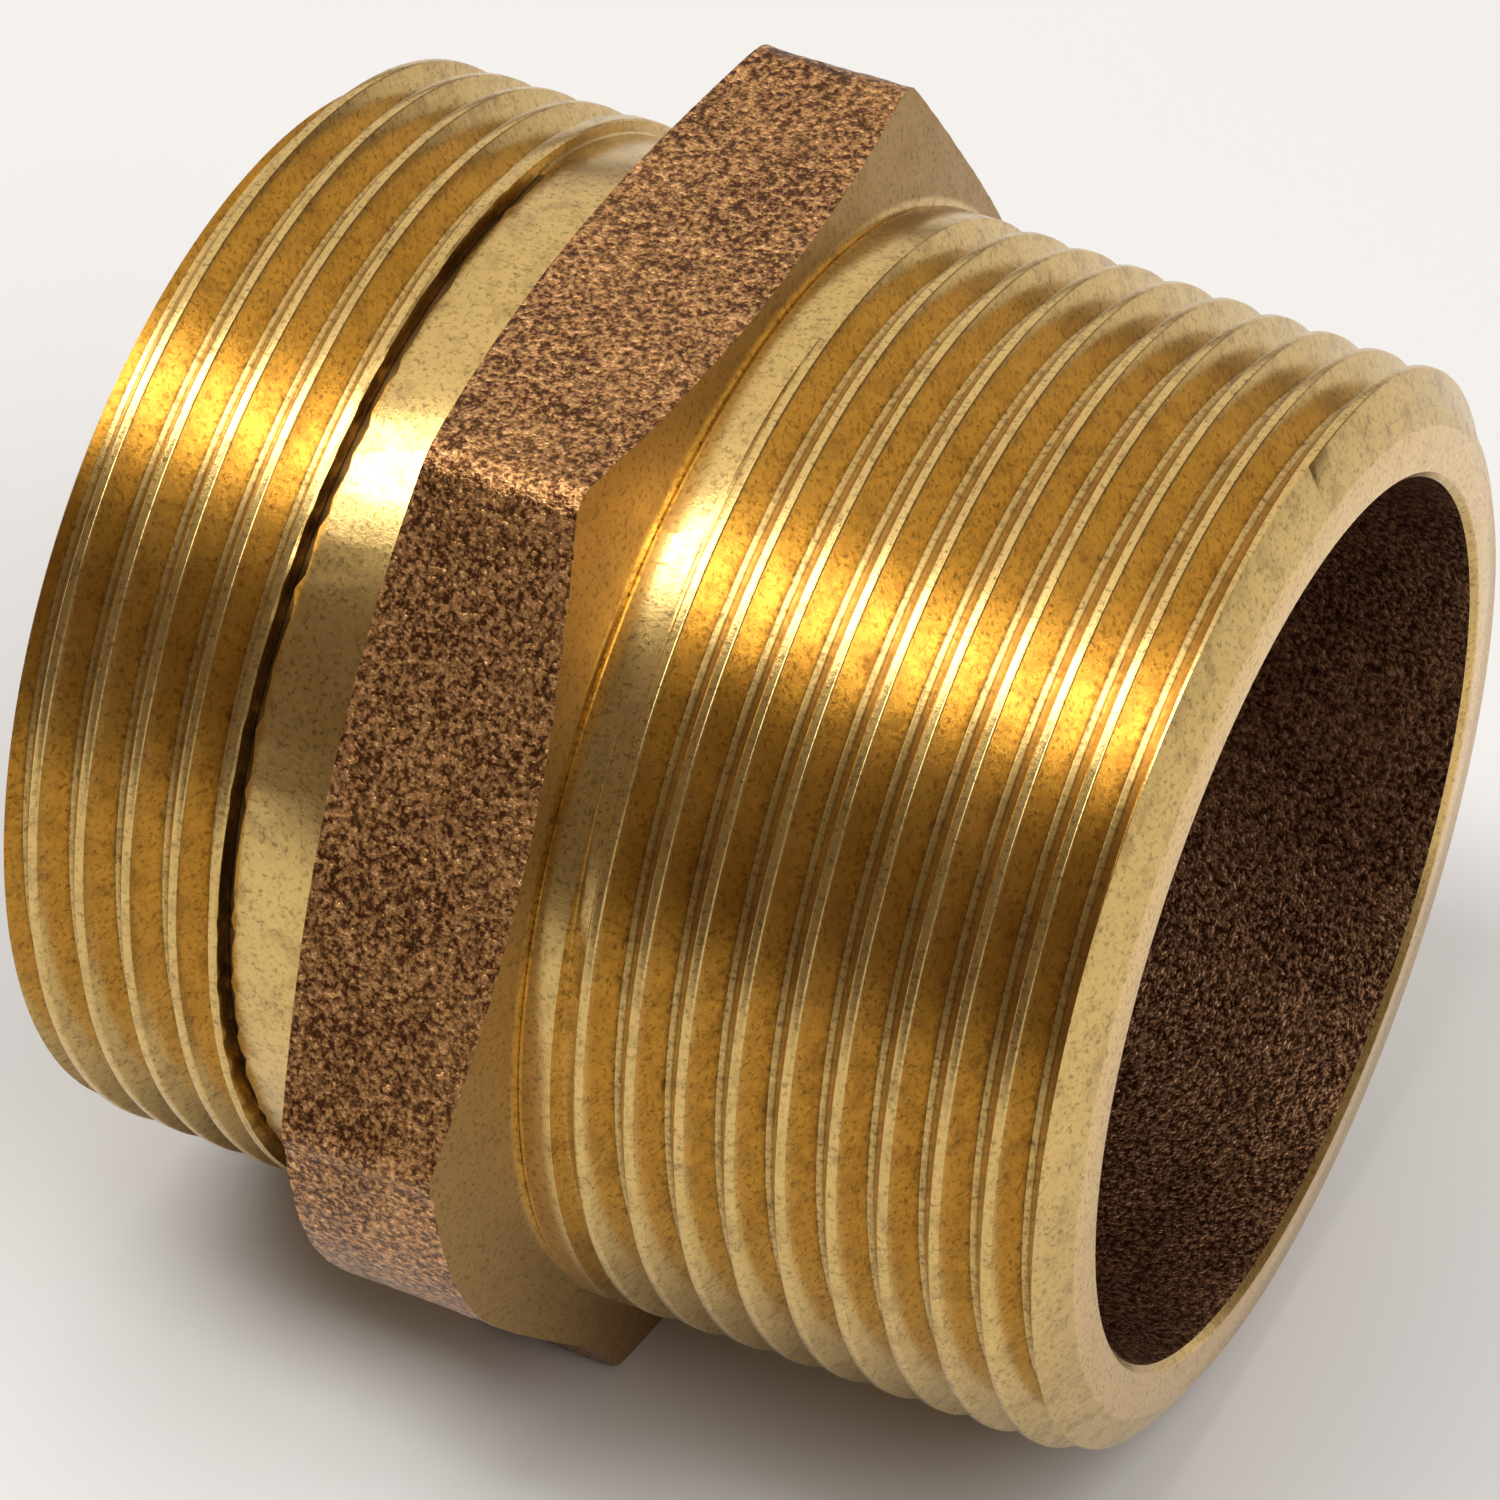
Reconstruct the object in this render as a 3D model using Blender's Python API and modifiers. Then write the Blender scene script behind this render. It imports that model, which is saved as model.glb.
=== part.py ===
# Hex nipple: a short bronze pipe fitting, threaded outside at both ends, with a hexagon between.
# The bore axis lies along X and the fitting lies on one flat of its hexagon, with +Z up.
# The origin is on the bore axis, halfway between the two end faces.

import math

import bmesh
import bpy

# Driving dimensions, in metres.
LENGTH = 0.0485             # end face to end face
LONG_END = 0.02365          # near end face to the hexagon, at the middle of a flat
HEX_WIDTH = 0.00885         # along the axis, at the middle of a flat
ACROSS_FLATS = 0.0504
HEX_CHAMFER = math.radians(16.0)

BORE_RADIUS = 0.0192
BORE_EDGE = 0.0003          # small chamfer at each mouth of the bore

PITCH = 0.0254 / 11.5       # eleven and a half turns to the inch
FLANK_ANGLE = math.radians(30.0)    # each flank, from a plane square to the axis
CREST_LAND = 0.00042        # flat left on each crest
THREAD_DEPTH = 0.00138
GROOVE_CLEARANCE = 0.0003   # how far the cutter stands out beyond the crests

TAPER_CREST = 0.0235        # crest radius of the long end's thread at its mouth
TAPER = 1.0 / 32.0          # growth in radius along the tapered thread, 1 in 16 on diameter
TAPER_THREAD = 0.0209       # length of the tapered thread, up to its plain neck
TAPER_TURN = 0.00092        # where the tapered groove's first turn starts, straight below the axis
TAPER_FADE = (0.00295, 0.0024)      # where that groove starts to run out, and where it has gone
STRAIGHT_CREST = 0.0239     # crest radius of the short end's parallel thread
STRAIGHT_THREAD = 0.0112
STRAIGHT_NECK = 0.0233      # radius of the turned relief beside the parallel thread
STRAIGHT_TURN = -0.02887
STRAIGHT_FADE = (-0.0135, -0.0129)

MOUTH_CHAMFER = 0.0011      # axial length of the chamfer at each end
MOUTH_DROP = 0.00215        # how far that chamfer comes in, on the radius

SEGMENTS = 48
MERGE = 0.00001             # vertices closer than this are one
SHARP_ANGLE = math.radians(25.0)
COLOUR = (0.60, 0.38, 0.13, 1.0)

HALF = LENGTH / 2
ALONG_X = (0.0, math.pi / 2, 0.0)   # turns a piece built about its own Z so that Z lies along X


def clear_scene():
    for item in list(bpy.data.objects):
        bpy.data.objects.remove(item, do_unlink=True)


def new_collection(name):
    made = bpy.data.collections.new(name)
    bpy.context.scene.collection.children.link(made)
    return made


def bronze():
    material = bpy.data.materials.new("bronze")
    material.use_nodes = True
    shader = material.node_tree.nodes["Principled BSDF"]
    shader.inputs["Base Color"].default_value = COLOUR
    shader.inputs["Metallic"].default_value = 1.0
    shader.inputs["Roughness"].default_value = 0.35
    return material


def outline_object(name, points, collection):
    """A closed outline in the XZ plane, given as (radius, height) pairs."""
    mesh = bpy.data.meshes.new(name)
    count = len(points)
    verts = [(radius, 0.0, height) for radius, height in points]
    edges = [(i, (i + 1) % count) for i in range(count)]
    mesh.from_pydata(verts, edges, [])
    made = bpy.data.objects.new(name, mesh)
    collection.objects.link(made)
    return made


def hex_side(edge, direction, radius):
    """Height of a conical hexagon side at a radius; edge is its height at the middle of a flat."""
    return edge - direction * (radius - ACROSS_FLATS / 2) * math.tan(HEX_CHAMFER)


def blank_outline():
    """Outer side from the long end's mouth down to the short end's, then back up the bore."""
    upper_edge = HALF - LONG_END
    lower_edge = upper_edge - HEX_WIDTH
    corner = ACROSS_FLATS / 2 / math.cos(math.pi / 6) + 0.0002
    neck = TAPER_CREST + TAPER_THREAD * TAPER
    thread_start = -HALF + STRAIGHT_THREAD
    mouth = BORE_RADIUS + BORE_EDGE
    return [
        (mouth, HALF),
        (TAPER_CREST - MOUTH_DROP, HALF),
        (TAPER_CREST + MOUTH_CHAMFER * TAPER, HALF - MOUTH_CHAMFER),
        (neck, HALF - TAPER_THREAD),
        (neck, hex_side(upper_edge, 1, neck)),
        (corner, hex_side(upper_edge, 1, corner)),
        (corner, hex_side(lower_edge, -1, corner)),
        (STRAIGHT_NECK, hex_side(lower_edge, -1, STRAIGHT_NECK)),
        (STRAIGHT_NECK, thread_start),
        (STRAIGHT_CREST, thread_start),
        (STRAIGHT_CREST, -HALF + MOUTH_CHAMFER),
        (STRAIGHT_CREST - MOUTH_DROP, -HALF),
        (mouth, -HALF),
        (BORE_RADIUS, -HALF + BORE_EDGE),
        (BORE_RADIUS, HALF - BORE_EDGE),
    ]


def add_screw(item, steps, height, turns):
    screw = item.modifiers.new("screw", "SCREW")
    screw.axis = "Z"
    screw.angle = math.tau
    screw.steps = steps
    screw.render_steps = steps
    screw.screw_offset = height
    screw.iterations = turns
    screw.use_merge_vertices = height == 0.0
    screw.merge_threshold = MERGE
    return screw


def turned_blank(collection):
    body = outline_object("nipple_body", blank_outline(), collection)
    body.rotation_euler = ALONG_X
    add_screw(body, SEGMENTS, 0.0, 1)
    return body


def hide_cutter(item):
    item.hide_render = True
    item.display_type = "WIRE"


def hex_prism(collection):
    """Longer than the fitting, so that it only trims the flange between the two necks."""
    bpy.ops.mesh.primitive_cylinder_add(
        vertices=6,
        radius=ACROSS_FLATS / 2 / math.cos(math.pi / 6),
        depth=LENGTH * 1.5,
        rotation=ALONG_X,
    )
    prism = bpy.context.object
    prism.name = "hex_prism"
    for owner in list(prism.users_collection):
        owner.objects.unlink(prism)
    collection.objects.link(prism)
    hide_cutter(prism)
    return prism


def groove_section(crest, start):
    """A blunt V, point inwards, that stands out beyond the crest by the clearance."""
    slope = math.tan(FLANK_ANGLE)
    root = (PITCH - CREST_LAND) / 2 - THREAD_DEPTH * slope
    wide = root + (THREAD_DEPTH + GROOVE_CLEARANCE) * slope
    inner = crest - THREAD_DEPTH
    outer = crest + GROOVE_CLEARANCE
    return [(inner, start - root), (inner, start + root), (outer, start + wide), (outer, start - wide)]


def groove_lift(height, full, gone):
    """How far the groove has run out: nothing up to full, clear of the crests from gone on."""
    past = max((height - full) / (gone - full), 0.0)
    return past * (THREAD_DEPTH + GROOVE_CLEARANCE)


def freeze(item):
    """Turn an object's modifiers into plain mesh, with doubled vertices merged."""
    graph = bpy.context.evaluated_depsgraph_get()
    mesh = bpy.data.meshes.new_from_object(item.evaluated_get(graph))
    item.modifiers.clear()
    item.data = mesh
    work = bmesh.new()
    work.from_mesh(mesh)
    bmesh.ops.remove_doubles(work, verts=work.verts, dist=MERGE)
    return work


def thaw(item, work):
    work.to_mesh(item.data)
    work.free()


def close_and_shape(item, shape):
    """Move each vertex of the swept groove outwards by shape(height), and cap its ends."""
    work = freeze(item)
    for vertex in work.verts:
        radius = math.hypot(vertex.co.x, vertex.co.y)
        scale = (radius + shape(vertex.co.z)) / radius
        vertex.co.x *= scale
        vertex.co.y *= scale
    open_edges = [edge for edge in work.edges if edge.is_boundary]
    bmesh.ops.holes_fill(work, edges=open_edges, sides=0)
    bmesh.ops.recalc_face_normals(work, faces=work.faces)
    thaw(item, work)


def groove_cutter(name, crest, start, turns, shape, collection):
    cutter = outline_object(name, groove_section(crest, start), collection)
    cutter.rotation_euler = ALONG_X
    add_screw(cutter, SEGMENTS, PITCH, turns)
    close_and_shape(cutter, shape)
    hide_cutter(cutter)
    return cutter


def tapered_groove(collection):
    """Runs from its run-out at the neck to beyond the long end's mouth."""
    turns = math.ceil((HALF + PITCH - TAPER_TURN) / PITCH)

    def shape(height):
        return (HALF - height) * TAPER + groove_lift(height, *TAPER_FADE)

    return groove_cutter("tapered_groove", TAPER_CREST, TAPER_TURN, turns, shape, collection)


def straight_groove(collection):
    """Runs from beyond the short end's mouth up to the turned relief."""
    turns = math.ceil((STRAIGHT_FADE[1] - STRAIGHT_TURN) / PITCH)

    def shape(height):
        return groove_lift(height, *STRAIGHT_FADE)

    return groove_cutter("straight_groove", STRAIGHT_CREST, STRAIGHT_TURN, turns, shape, collection)


def add_boolean(body, other, operation):
    change = body.modifiers.new(other.name, "BOOLEAN")
    change.operation = operation
    change.solver = "EXACT"
    change.object = other


def finish_body(body):
    """Merge what the cuts left doubled, and shade the round faces smooth between sharp edges."""
    work = freeze(body)
    bmesh.ops.dissolve_degenerate(work, edges=work.edges, dist=MERGE)
    for edge in [edge for edge in work.edges if edge.is_wire]:
        work.edges.remove(edge)
    thaw(body, work)
    body.data.shade_smooth()
    body.data.set_sharp_from_angle(angle=SHARP_ANGLE)
    body.data.materials.append(bronze())


def main():
    clear_scene()
    parts = new_collection("hex_nipple")
    cutters = new_collection("cutters")
    body = turned_blank(parts)
    add_boolean(body, hex_prism(cutters), "INTERSECT")
    add_boolean(body, tapered_groove(cutters), "DIFFERENCE")
    add_boolean(body, straight_groove(cutters), "DIFFERENCE")
    finish_body(body)


main()
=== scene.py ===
import math

import bmesh
import bpy
from mathutils import Matrix, Vector, noise


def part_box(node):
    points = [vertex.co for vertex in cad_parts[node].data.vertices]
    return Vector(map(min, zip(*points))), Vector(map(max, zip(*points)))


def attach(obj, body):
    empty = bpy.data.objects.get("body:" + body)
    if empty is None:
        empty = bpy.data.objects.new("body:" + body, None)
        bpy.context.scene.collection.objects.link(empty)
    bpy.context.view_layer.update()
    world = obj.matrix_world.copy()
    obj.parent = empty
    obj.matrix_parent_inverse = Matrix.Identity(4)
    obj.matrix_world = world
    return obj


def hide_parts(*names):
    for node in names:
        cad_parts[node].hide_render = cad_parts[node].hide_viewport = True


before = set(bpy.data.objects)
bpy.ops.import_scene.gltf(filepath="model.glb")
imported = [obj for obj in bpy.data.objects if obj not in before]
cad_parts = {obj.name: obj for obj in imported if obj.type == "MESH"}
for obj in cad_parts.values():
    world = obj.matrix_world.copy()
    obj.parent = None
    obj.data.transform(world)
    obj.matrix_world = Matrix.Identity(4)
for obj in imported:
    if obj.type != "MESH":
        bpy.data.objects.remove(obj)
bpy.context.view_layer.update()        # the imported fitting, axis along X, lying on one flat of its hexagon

cadLow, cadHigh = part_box("nipple_body")
mm = 0.001
half = round(cadHigh[0] / mm, 3)          # half the length in mm; the bore's axis is X
flatHeight = round(cadHigh[2] / mm, 3)    # from the axis to a flat


def deselectAll():
    if bpy.context.object and bpy.context.object.mode != "OBJECT":
        bpy.ops.object.mode_set(mode="OBJECT")
    bpy.ops.object.select_all(action="DESELECT")


def pick(piece):
    deselectAll()
    piece.select_set(True)
    bpy.context.view_layer.objects.active = piece


def applyPlace(piece):
    pick(piece)
    bpy.ops.object.transform_apply(location=True, rotation=True, scale=True)


def closeUp(piece):
    # merge doubles, cap what is open, face everything outwards
    pick(piece)
    bpy.ops.object.mode_set(mode="EDIT")
    bpy.ops.mesh.select_all(action="SELECT")
    bpy.ops.mesh.remove_doubles(threshold=0.002 * mm)
    bpy.ops.mesh.fill_holes(sides=0)
    bpy.ops.mesh.select_all(action="SELECT")
    bpy.ops.mesh.normals_make_consistent(inside=False)
    bpy.ops.object.mode_set(mode="OBJECT")


def clearSlivers(piece):
    # edges of no length and faces of no area, left by the cuts
    pick(piece)
    bpy.ops.object.mode_set(mode="EDIT")
    bpy.ops.mesh.select_all(action="SELECT")
    bpy.ops.mesh.dissolve_degenerate(threshold=0.001 * mm)
    bpy.ops.object.mode_set(mode="OBJECT")


def turnRings(name, outline, columns):
    # outline is (x, radius) in mm, right round the section; each ring is extruded from the last
    deselectAll()
    x, radius = outline[0]
    bpy.ops.mesh.primitive_circle_add(vertices=columns, radius=radius * mm,
                                      location=(x * mm, 0, 0), rotation=(0, math.pi / 2, 0))
    piece = bpy.context.object
    piece.name = name
    applyPlace(piece)
    bpy.ops.object.mode_set(mode="EDIT")
    bpy.ops.mesh.select_all(action="SELECT")
    for nextX, nextRadius in outline[1:]:
        bpy.ops.mesh.extrude_edges_move(TRANSFORM_OT_translate={"value": ((nextX - x) * mm, 0, 0)})
        grow = nextRadius / radius
        if grow != 1:
            bpy.ops.transform.resize(value=(1, grow, grow), center_override=(nextX * mm, 0, 0))
        x, radius = nextX, nextRadius
    bpy.ops.mesh.select_all(action="DESELECT")
    bpy.ops.mesh.select_mode(type="EDGE")
    bpy.ops.mesh.select_non_manifold()
    bpy.ops.mesh.bridge_edge_loops()
    bpy.ops.object.mode_set(mode="OBJECT")
    closeUp(piece)
    return piece


def cutWith(piece, tool, operation):
    change = piece.modifiers.new("cut", "BOOLEAN")
    change.operation = operation
    change.solver = "EXACT"
    change.object = tool
    pick(piece)
    bpy.ops.object.modifier_apply(modifier="cut")
    bpy.data.objects.remove(tool)


def moveRadially(piece, shift):
    # shift(x, radius, point) gives how far to move out from the bore axis, all in mm
    for vertex in piece.data.vertices:
        radius = math.hypot(vertex.co.y, vertex.co.z)
        grow = 1 + shift(vertex.co.x / mm, radius / mm, vertex.co / mm) * mm / radius
        vertex.co.y *= grow
        vertex.co.z *= grow


def step(text):
    print("fitting:", text)


barrel = {
    # millimetres; the tapered thread is at +x, the parallel one at -x
    "columns": 224,
    "boreRadius": 19.2,
    "boreEdge": 0.3,             # small chamfer at both mouths of the bore
    "boreRings": 96,
    "mouthChamfer": 1.1,         # along the axis, and how far it drops
    "mouthDrop": 2.15,
    "taperCrest": 23.5,          # radius at the mouth
    "taper": 1 / 32,
    "taperThread": 20.9,
    "neckEnd": 23.05,            # neck's inner edge, back from the mouth
    "neckNotch": 0.3,
    "underCollar": 23.0,
    "collarStep": (-8.9, -9.1),  # where the hidden foot meets the parallel end's neck
    "straightCrest": 23.9,
    "straightThread": 11.2,
    "straightNeck": 23.3,
    "castRoughness": 0.07,
    "tear": 0.42,                # torn ring beside the parallel thread: width, depth, unevenness
    "tearDepth": 0.40,
    "tearRagged": 0.26,
    "tearLumps": 31,             # higher is finer
    "tearStart": -14,            # degrees from the top, towards the front
    "tearEnd": 170,
}

threads = {
    "pitch": 25.4 / 11.5,
    "depth": 1.38,
    "flank": math.radians(30),
    "crestLand": 0.36,           # width left between two grooves
    "crestRound": 0.10,
    "rootRound": 0.07,
    "clearance": 0.35,           # how far the cutting shape stands out of the crests
    "taperStart": 2.03,          # x of a groove's middle, straight above the axis
    "taperTurns": 11,
    "taperFade": (2.95, 2.40),   # x from which the groove lifts out, and where it has gone
    "straightStart": -27.77,
    "straightTurns": 8,
    "straightFade": (-13.5, -12.9),
}


def taperCrestAt(x):
    return barrel["taperCrest"] + (half - x) * barrel["taper"]


def barrelOutline():
    b = barrel
    neckX = half - b["taperThread"]
    neck = taperCrestAt(neckX)
    neckEdge = half - b["neckEnd"]
    mouth = b["boreRadius"] + b["boreEdge"]
    wall = -half + b["straightThread"]
    outer = [
        (half, mouth),
        (half, b["taperCrest"] - b["mouthDrop"]),
        (half - b["mouthChamfer"], taperCrestAt(half - b["mouthChamfer"])),
        (neckX, neck),
        (neckEdge, neck),
        (neckEdge - 0.10, neck - 0.03),
        (neckEdge - 0.22, neck - 0.12),
        (neckEdge - 0.30, neck - b["neckNotch"]),
        (neckEdge - 0.9, neck - b["neckNotch"]),
        (neckEdge - 1.2, b["underCollar"]),
        (b["collarStep"][0], b["underCollar"]),
        (b["collarStep"][1], b["straightNeck"]),
        (wall + b["tear"] + 0.05, b["straightNeck"]),
        (wall + b["tear"], b["straightNeck"] - 0.02),
        (wall + b["tear"] * 0.75, b["straightNeck"] - b["tearDepth"]),
        (wall + b["tear"] * 0.2, b["straightNeck"] - b["tearDepth"]),
        (wall, b["straightNeck"] + 0.05),
        (wall, b["straightCrest"] - 0.08),
        (wall - 0.10, b["straightCrest"]),
        (-half + b["mouthChamfer"], b["straightCrest"]),
        (-half, b["straightCrest"] - b["mouthDrop"]),
        (-half, mouth),
    ]
    rings = b["boreRings"]
    start = -half + b["boreEdge"]
    run = 2 * half - 2 * b["boreEdge"]
    bore = [(start + run * ring / rings, b["boreRadius"]) for ring in range(rings + 1)]
    return outer + bore


def castBore(x, radius, point):
    # uneven as-cast wall, fading out at the machined mouths
    if radius > barrel["boreRadius"] + 0.05:
        return 0
    inside = min(1, max(0, (half - abs(x) - 0.4) / 0.8))
    swell = noise.noise(point * 0.45) * 0.9 + noise.noise(point * 1.1) * 0.5
    return -inside * barrel["castRoughness"] * (swell + 0.3)


def tornRing(piece):
    # uneven depth and edges of the ring beside the parallel thread; none at the top and behind
    b = barrel
    wall = -half + b["straightThread"]
    for vertex in piece.data.vertices:
        along = (vertex.co.x / mm - wall) / b["tear"]
        radius = math.hypot(vertex.co.y, vertex.co.z) / mm
        if not (-0.02 < along < 1.2 and radius > 22):
            continue
        out = Vector((0, vertex.co.y, vertex.co.z)).normalized()
        turn = math.degrees(math.atan2(-out.y, out.z))
        torn = min(1, max(0, (turn - b["tearStart"]) / 6)) * min(1, max(0, (b["tearEnd"] - turn) / 30))
        ragged = torn * noise.noise(out * b["tearLumps"]) * b["tearRagged"]
        vertex.co.x += ragged * (0.3 + 0.7 * along) * mm
        if radius < b["straightNeck"] - 0.1:
            grow = 1 + ((b["straightNeck"] - 0.04 - radius) * (1 - torn) + ragged) / radius
            vertex.co.y *= grow
            vertex.co.z *= grow


def grooveSide(crest):
    # one side of the groove's section, from the root out: (distance from its middle, radius)
    t = threads
    slope = math.tan(t["flank"])
    edge = (t["pitch"] - t["crestLand"]) / 2
    low = t["depth"] - t["rootRound"]
    high = t["crestRound"]
    side = [
        (edge - slope * low - 0.09, t["depth"]),
        (edge - slope * low - 0.03, t["depth"] - 0.02),
        (edge - slope * low, low),
        (edge - slope * high, high),
        (edge - slope * high + 0.035, high * 0.45),
        (edge + 0.015, high * 0.12),
        (edge + 0.07, -0.01),
        (edge + 0.07, -t["clearance"]),
    ]
    return [(along, crest - deep) for along, deep in side]


def grooveTool(name, crest, start, turns, lift):
    # the groove's section, swept along its helix; lift(x) moves it out from the axis
    side = grooveSide(crest)
    shape = [(start + along, radius) for along, radius in side]
    shape += [(start - along, radius) for along, radius in reversed(side)]
    deselectAll()
    bpy.ops.mesh.primitive_circle_add(vertices=len(shape), radius=mm)
    tool = bpy.context.object
    tool.name = name
    for vertex, (x, radius) in zip(tool.data.vertices, shape):
        vertex.co = (x * mm, 0, radius * mm)
    sweep = tool.modifiers.new("sweep", "SCREW")
    sweep.axis = "X"
    sweep.angle = math.tau
    sweep.screw_offset = threads["pitch"] * mm
    sweep.iterations = turns
    sweep.steps = barrel["columns"]
    sweep.render_steps = barrel["columns"]
    pick(tool)
    bpy.ops.object.modifier_apply(modifier="sweep")
    moveRadially(tool, lambda x, radius, point: lift(x))
    closeUp(tool)
    return tool


def fadeLift(x, fade):
    # grows from nothing at fade[0] to clear of the crests at fade[1]
    past = max(0, (x - fade[0]) / (fade[1] - fade[0]))
    return past * (threads["depth"] + 0.1)


def taperLift(x):
    return (half - x) * barrel["taper"] + fadeLift(x, threads["taperFade"])


def straightLift(x):
    return fadeLift(x, threads["straightFade"])


def makeBarrel():
    piece = turnRings("barrel", barrelOutline(), barrel["columns"])
    moveRadially(piece, castBore)
    tornRing(piece)
    tool = grooveTool("taperGroove", barrel["taperCrest"], threads["taperStart"],
                      threads["taperTurns"], taperLift)
    cutWith(piece, tool, "DIFFERENCE")
    tool = grooveTool("straightGroove", barrel["straightCrest"], threads["straightStart"],
                      threads["straightTurns"], straightLift)
    cutWith(piece, tool, "DIFFERENCE")
    return piece


collar = {
    "rightEdge": 0.60,           # x of the flats' edges, at the middle of a flat
    "leftEdge": -8.25,
    "coneAngle": 16,
    "overrun": 1.3,              # the casting stands this far beyond each turned cone
    "innerRadius": 21.6,         # inside the barrel's wall, so that the two join
    "footRight": 23.0,
    "footLeft": 22.9,
    "outerRadius": 31.0,
    "ridgeRound": 0.9,
    "ridgeSteps": 4,
    "acrossCuts": 84,
    "alongCuts": 34,
    "skin": 0.085,               # how lumpy the cast faces are
}


def coneX(edge, direction, radius):
    return edge - direction * (radius - flatHeight) * math.tan(math.radians(collar["coneAngle"]))


def castSkin(x, radius, point):
    # lumpy as-cast faces: slow swells, then grains
    if radius < flatHeight - 0.5:
        return 0
    swell = noise.noise(point * 0.16) * 1.1
    grain = noise.noise(point * 1.3) * 0.55 + noise.noise(point * 2.6 + Vector((7, 3, 1))) * 0.45
    return collar["skin"] * (swell + grain - 0.2)


def castHexagon():
    c = collar
    corner = flatHeight / math.cos(math.pi / 6)
    low = c["leftEdge"] - c["overrun"]
    high = c["rightEdge"] + c["overrun"]
    deselectAll()
    bpy.ops.mesh.primitive_cylinder_add(vertices=6, radius=corner * mm, depth=(high - low) * mm,
                                        location=((high + low) / 2 * mm, 0, 0),
                                        rotation=(0, math.pi / 2, 0))
    piece = bpy.context.object
    piece.name = "collar"
    applyPlace(piece)
    bpy.ops.object.mode_set(mode="EDIT")
    selectEdges(piece, lambda a, b: abs(a.x - b.x) > mm)
    bpy.ops.mesh.bevel(offset=c["ridgeRound"] * mm, segments=c["ridgeSteps"], affect="EDGES")
    selectEdges(piece, lambda a, b: abs(a.x - b.x) > mm)
    bpy.ops.mesh.subdivide_edgering(number_cuts=c["alongCuts"])
    wide = (corner - 4 * c["ridgeRound"]) * mm
    selectEdges(piece, lambda a, b: abs(a.x - b.x) < 0.001 * mm and (a - b).length > wide)
    bpy.ops.mesh.subdivide_edgering(number_cuts=c["acrossCuts"])
    bpy.ops.object.mode_set(mode="OBJECT")
    moveRadially(piece, castSkin)
    return piece


def selectEdges(piece, wanted):
    bpy.ops.mesh.select_mode(type="EDGE")
    bpy.ops.mesh.select_all(action="DESELECT")
    work = bmesh.from_edit_mesh(piece.data)
    for edge in work.edges:
        edge.select_set(wanted(edge.verts[0].co, edge.verts[1].co))
    work.select_flush_mode()
    bmesh.update_edit_mesh(piece.data)


def facingOutline():
    c = collar
    far = c["outerRadius"]
    return [
        (coneX(c["rightEdge"], 1, c["footRight"]), c["innerRadius"]),
        (coneX(c["rightEdge"], 1, c["footRight"]), c["footRight"]),
        (coneX(c["rightEdge"], 1, far), far),
        (coneX(c["leftEdge"], -1, far), far),
        (coneX(c["leftEdge"], -1, c["footLeft"]), c["footLeft"]),
        (coneX(c["leftEdge"], -1, c["footLeft"]), c["innerRadius"]),
    ]


def makeCollar():
    piece = castHexagon()
    ring = turnRings("facing", facingOutline(), barrel["columns"])
    cutWith(piece, ring, "INTERSECT")
    return piece


class Wire:
    # a value in a material's nodes; sums on it add Math nodes
    def __init__(self, finish, socket):
        self.finish = finish
        self.socket = socket

    def sum(self, operation, first, second=None, clamp=False):
        inputs = {0: first} if second is None else {0: first, 1: second}
        settings = {"operation": operation, "use_clamp": clamp}
        return self.finish.node("ShaderNodeMath", settings, inputs)

    def __add__(self, other):
        return self.sum("ADD", self, other)

    def __radd__(self, other):
        return self.sum("ADD", other, self)

    def __sub__(self, other):
        return self.sum("SUBTRACT", self, other)

    def __rsub__(self, other):
        return self.sum("SUBTRACT", other, self)

    def __mul__(self, other):
        return self.sum("MULTIPLY", self, other)

    def __rmul__(self, other):
        return self.sum("MULTIPLY", other, self)

    def __pow__(self, other):
        return self.sum("POWER", self, other)

    def clamped(self):
        return self.sum("ADD", self, 0.0, clamp=True)

    def output(self, index):
        # another output of the same node
        return Wire(self.finish, self.socket.node.outputs[index])


class Finish:
    # one material, built node by node
    def __init__(self, name, metallic):
        self.material = bpy.data.materials.new(name)
        self.material.use_nodes = True
        self.nodes = self.material.node_tree.nodes
        self.links = self.material.node_tree.links
        self.shader = self.nodes["Principled BSDF"]
        self.shader.inputs["Metallic"].default_value = metallic

    def node(self, kind, settings=None, inputs=None, output=0):
        made = self.nodes.new(kind)
        for name, value in (settings or {}).items():
            if name == "stops":
                self.setStops(made.color_ramp, value)
            else:
                setattr(made, name, value)
        for name, value in (inputs or {}).items():
            self.feed(made.inputs[name], value)
        return Wire(self, made.outputs[output])

    def setStops(self, ramp, stops):
        while len(ramp.elements) < len(stops):
            ramp.elements.new(0.5)
        for element, (place, colour) in zip(ramp.elements, stops):
            element.position = place
            element.color = colour

    def feed(self, socket, value):
        if isinstance(value, Wire):
            self.links.new(value.socket, socket)
        else:
            socket.default_value = value

    def put(self, name, value):
        self.feed(self.shader.inputs[name], value)

    def blend(self, factor, first, second, how="MIX"):
        settings = {"data_type": "RGBA", "blend_type": how, "clamp_factor": True}
        return self.node("ShaderNodeMix", settings, {0: factor, 6: first, 7: second}, 2)

    def noise(self, place, scale, detail=2.0, roughness=0.5):
        inputs = {"Vector": place, "Scale": scale, "Detail": detail, "Roughness": roughness}
        return self.node("ShaderNodeTexNoise", None, inputs)

    def bump(self, height, strength, distance):
        inputs = {"Strength": strength, "Distance": distance, "Height": height}
        return self.node("ShaderNodeBump", None, inputs)

    def ramp(self, value, low, high):
        # 0 below low, 1 above high
        inputs = {0: value, 1: low, 2: high, 3: 0.0, 4: 1.0}
        return self.node("ShaderNodeMapRange", {"interpolation_type": "SMOOTHSTEP"}, inputs)


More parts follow.
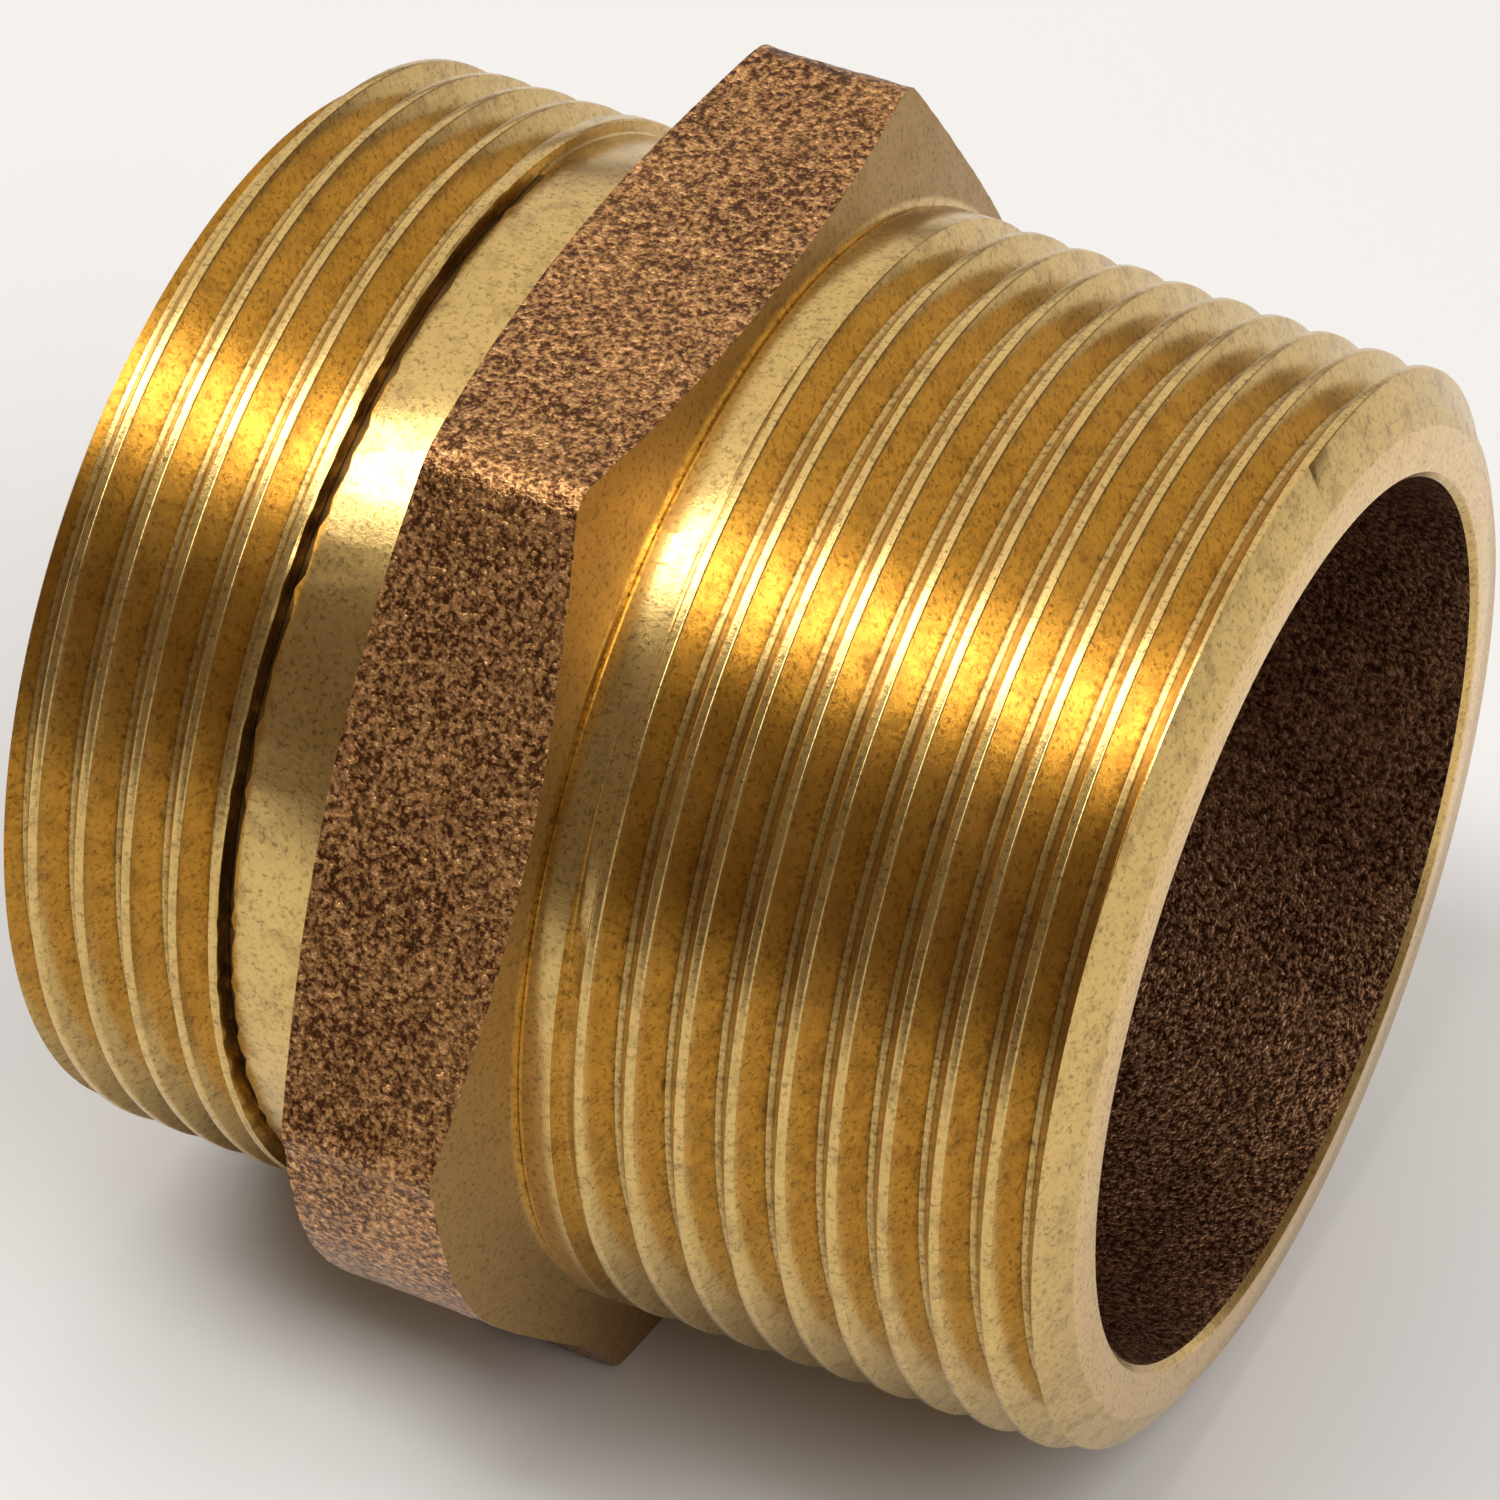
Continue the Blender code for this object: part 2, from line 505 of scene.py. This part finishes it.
def placeInMm(finish):
    place = finish.node("ShaderNodeTexCoord", None, None, 3)
    return finish.node("ShaderNodeVectorMath", {"operation": "SCALE"}, {0: place, "Scale": 1000.0})


machined = {
    "light": (0.80, 0.56, 0.21, 1),
    "deep": (0.58, 0.40, 0.14, 1),
    "brown": (0.36, 0.22, 0.085, 1),
    # dark brown: real specks, plus painted shade in the thread roots and painted shadow across the torn ring
    "stainAndShade": (0.08, 0.04, 0.014, 1),
    "dull": (0.37, 0.22, 0.08, 1),
    "endFace": (0.90, 0.62, 0.31, 1),
    "roughness": 0.24,
    "dullFrom": 24.25,          # radius beyond the necks: the hexagon's turned faces
    "latheLines": 5.0,          # lines to the mm
    "lineDepth": 0.010,
}


def machinedBronze():
    m = machined
    f = Finish("machined_bronze", 1.0)
    place = placeInMm(f)
    x = f.node("ShaderNodeSeparateXYZ", None, {0: place})
    y, z = x.output(1), x.output(2)
    radius = (y * y + z * z) ** 0.5
    lineAt = f.node("ShaderNodeCombineXYZ", None, {
        0: x * m["latheLines"] + y * 0.03,
        1: radius * m["latheLines"],
        2: z * 0.03 + y * 0.02,
    })
    lines = f.noise(lineAt, 1.0, 3.0, 0.7)
    drift = f.noise(place, 0.09, 2.0)
    blotch = f.noise(place, 0.22, 4.0, 0.6)
    mottle = f.noise(place, 0.75, 5.0, 0.7)
    speck = f.noise(place, 4.2, 3.0, 0.7)
    groove = f.node("ShaderNodeAttribute", {"attribute_name": "groove"}, None, 2)
    # painted shade: darker deep in the thread roots (shade together with oil and dirt) and fully dark across
    # the torn ring (painted shadow of its wall), driven by the groove depth
    root = f.ramp(groove + (speck - 0.5) * 0.4, 0.80, 1.35)
    dull = f.ramp(radius, m["dullFrom"], m["dullFrom"] + 0.3)
    tone = (blotch * 0.7 + drift * 0.5 + lines * 0.35 - 0.28).clamped()
    colour = f.blend(tone, m["deep"], m["light"])
    colour = f.blend(f.ramp(mottle, 0.48, 0.68) * 0.5, colour, m["brown"])
    colour = f.blend(dull * 0.8, colour, m["dull"])
    colour = f.blend(f.ramp(x * x, (half - 0.08) ** 2, (half - 0.02) ** 2) * 0.6, colour, m["endFace"])
    colour = f.blend(f.ramp(speck, 0.50, 0.68) * 0.5, colour, m["stainAndShade"])
    # painted shade and shadow from the root mask, blended towards the dark brown
    colour = f.blend(root * 0.9, colour, m["stainAndShade"])
    f.put("Base Color", colour)
    rough = m["roughness"] + (blotch - 0.5) * 0.16 + (mottle - 0.5) * 0.2 + root * 0.2 + dull * 0.2
    f.put("Roughness", rough.clamped())
    height = lines * 0.6 + speck * 1.2
    f.put("Normal", f.bump(height, 0.5, m["lineDepth"] * mm))
    return f.material


cast = {
    "light": (0.70, 0.365, 0.14, 1),
    "deep": (0.08, 0.028, 0.010, 1),
    "glint": (1.0, 0.60, 0.28, 1),
    "roughness": 0.34,
    "grainHeight": 0.16,
}


def castBronze(name, tint, extraRough):
    c = cast
    f = Finish(name, 1.0)
    place = placeInMm(f)
    grain = f.noise(place, 3.4, 3.0, 0.6)
    fine = f.noise(place, 7.0, 2.0, 0.6)
    patch = f.noise(place, 0.25, 2.0, 0.5)
    height = grain * 0.7 + fine * 0.3
    peaks = f.ramp(height, 0.40, 0.62)
    colour = f.blend((peaks * 0.85 + (patch - 0.5) * 0.5).clamped(), c["deep"], c["light"])
    glints = f.ramp(height, 0.58, 0.66)
    colour = f.blend(glints * 0.7, colour, c["glint"])
    colour = f.blend(1.0, colour, tint, "MULTIPLY")
    f.put("Base Color", colour)
    f.put("Roughness", (c["roughness"] + (fine - 0.5) * 0.3 - glints * 0.12 + extraRough).clamped())
    f.put("Normal", f.bump(height, 1.0, c["grainHeight"] * mm))
    return f.material


def paintFaces(piece, slots):
    # slots: list of (material, test on face centre in mm, radius, normal)
    piece.data.materials.clear()
    for material, test in slots:
        piece.data.materials.append(material)
    for face in piece.data.polygons:
        centre = face.center / mm
        radius = math.hypot(centre.y, centre.z)
        for index, (material, test) in enumerate(slots):
            if test(centre, radius, face.normal):
                face.material_index = index


def markGrooves(piece):
    # how deep each vertex lies below the crests: 0 to 1, and 1.5 in the torn ring; the bronze material uses
    # it for painted shade in the roots and painted shadow in the ring
    depth = piece.data.attributes.new("groove", "FLOAT", "POINT")
    tearEnd = -half + barrel["straightThread"] + barrel["tear"] + 0.2
    for index, vertex in enumerate(piece.data.vertices):
        x = vertex.co.x / mm
        radius = math.hypot(vertex.co.y, vertex.co.z) / mm
        onTaper = half - barrel["taperThread"] < x < half - barrel["mouthChamfer"]
        onStraight = -half + barrel["mouthChamfer"] < x < -half + barrel["straightThread"]
        crest = taperCrestAt(x) if onTaper else barrel["straightCrest"]
        below = (crest - radius) / threads["depth"] if onTaper or onStraight else 0
        # the torn ring gets the full value, for its painted shadow
        if -half + barrel["straightThread"] - 0.02 < x < tearEnd and radius < barrel["straightNeck"] - 0.06:
            below = 1.5
        depth.data[index].value = min(1.5, max(0, below)) if radius > 22 else 0


def isAny(centre, radius, normal):
    return True


def isCastFlat(centre, radius, normal):
    onCollar = collar["leftEdge"] - 0.4 < centre.x < collar["rightEdge"] + 0.4
    return onCollar and radius > 24.6 and abs(normal.x) < 0.8


def isBoreWall(centre, radius, normal):
    inward = normal.y * centre.y + normal.z * centre.z < 0
    return radius < 19.8 and inward and abs(centre.x) < half - barrel["boreEdge"] - 0.05


machinedFinish = machinedBronze()
flatFinish = castBronze("cast_bronze", (1, 1, 1, 1), 0.0)
boreFinish = castBronze("cast_bore", (0.55, 0.56, 0.75, 1), 0.1)
step("finishes mixed")


def makeFitting():
    piece = makeBarrel()
    step("barrel turned and threaded, %d faces" % len(piece.data.polygons))
    cutWith(piece, makeCollar(), "UNION")
    step("hexagon joined on, %d faces" % len(piece.data.polygons))
    piece.name = "fitting"
    clearSlivers(piece)
    pick(piece)
    bpy.ops.object.shade_smooth_by_angle(angle=math.radians(28))
    markGrooves(piece)
    paintFaces(piece, [(machinedFinish, isAny), (flatFinish, isCastFlat), (boreFinish, isBoreWall)])
    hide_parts("nipple_body")
    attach(piece, "root")
    return piece


fitting = makeFitting()


studio = {
    "floorSide": 6.0,
    "floorColour": (0.65, 0.65, 0.65, 1),
    "floorRoughness": 0.8,
    "world": (0.17, 0.13, 0.10, 1),
    "worldStrength": 1.0,
}

lamps = {
    # where it hangs, what it faces, its size along and across, power and colour
    "topSoftbox": {"place": (-0.45, -0.20, 0.89), "aim": (-0.45, 0, 0), "size": (1.1, 0.25),
                   "watts": 7.8, "colour": (1, 0.99, 0.97)},
    "backWall": {"place": (-0.35, 0.80, 0.92), "aim": (-0.35, 0, 0), "size": (2.2, 2.1),
                 "watts": 11, "colour": (1, 0.99, 0.98)},
    "rightFill": {"place": (0.9, -0.35, 1.2), "aim": (0, 0, 0), "size": (1.0, 1.0),
                  "watts": 14, "colour": (1, 1, 1)},
}

camera = {
    "place": (0.09525, -0.18257, 0.19395),
    "aim": (-0.00070, -0.00043, -0.00006),
    "roll": -1.13,
    "lens": 160.2,
}


def makeFloor():
    deselectAll()
    bpy.ops.mesh.primitive_plane_add(size=studio["floorSide"], location=(0, 0, 0))
    floor = bpy.context.object
    floor.name = "floor"
    for vertex in floor.data.vertices:
        vertex.co.z = cadLow[2]
    paint = Finish("pale_floor", 0.0)
    paint.put("Base Color", studio["floorColour"])
    paint.put("Roughness", studio["floorRoughness"])
    floor.data.materials.append(paint.material)


def hangLamps():
    for name, lamp in lamps.items():
        bpy.ops.object.light_add(type="AREA", location=lamp["place"])
        light = bpy.context.object
        light.name = name
        light.data.shape = "RECTANGLE"
        light.data.size, light.data.size_y = lamp["size"]
        light.data.energy = lamp["watts"]
        light.data.color = lamp["colour"]
        look = Vector(lamp["aim"]) - Vector(lamp["place"])
        light.rotation_euler = look.to_track_quat("-Z", "Y").to_euler()
    world = bpy.data.worlds.new("studio")
    world.use_nodes = True
    world.node_tree.nodes["Background"].inputs[0].default_value = studio["world"]
    world.node_tree.nodes["Background"].inputs[1].default_value = studio["worldStrength"]
    bpy.context.scene.world = world


def placeCamera():
    place = Vector(camera["place"])
    look = Vector(camera["aim"]) - place
    turn = look.to_track_quat("-Z", "Y").to_matrix() @ Matrix.Rotation(math.radians(camera["roll"]), 3, "Z")
    bpy.ops.object.camera_add(location=place, rotation=turn.to_euler())
    made = bpy.context.object
    made.data.lens = camera["lens"]
    made.data.clip_start = 0.01
    bpy.context.scene.camera = made


makeFloor()
hangLamps()
placeCamera()
bpy.context.scene.view_settings.view_transform = "Standard"
step("stage set")
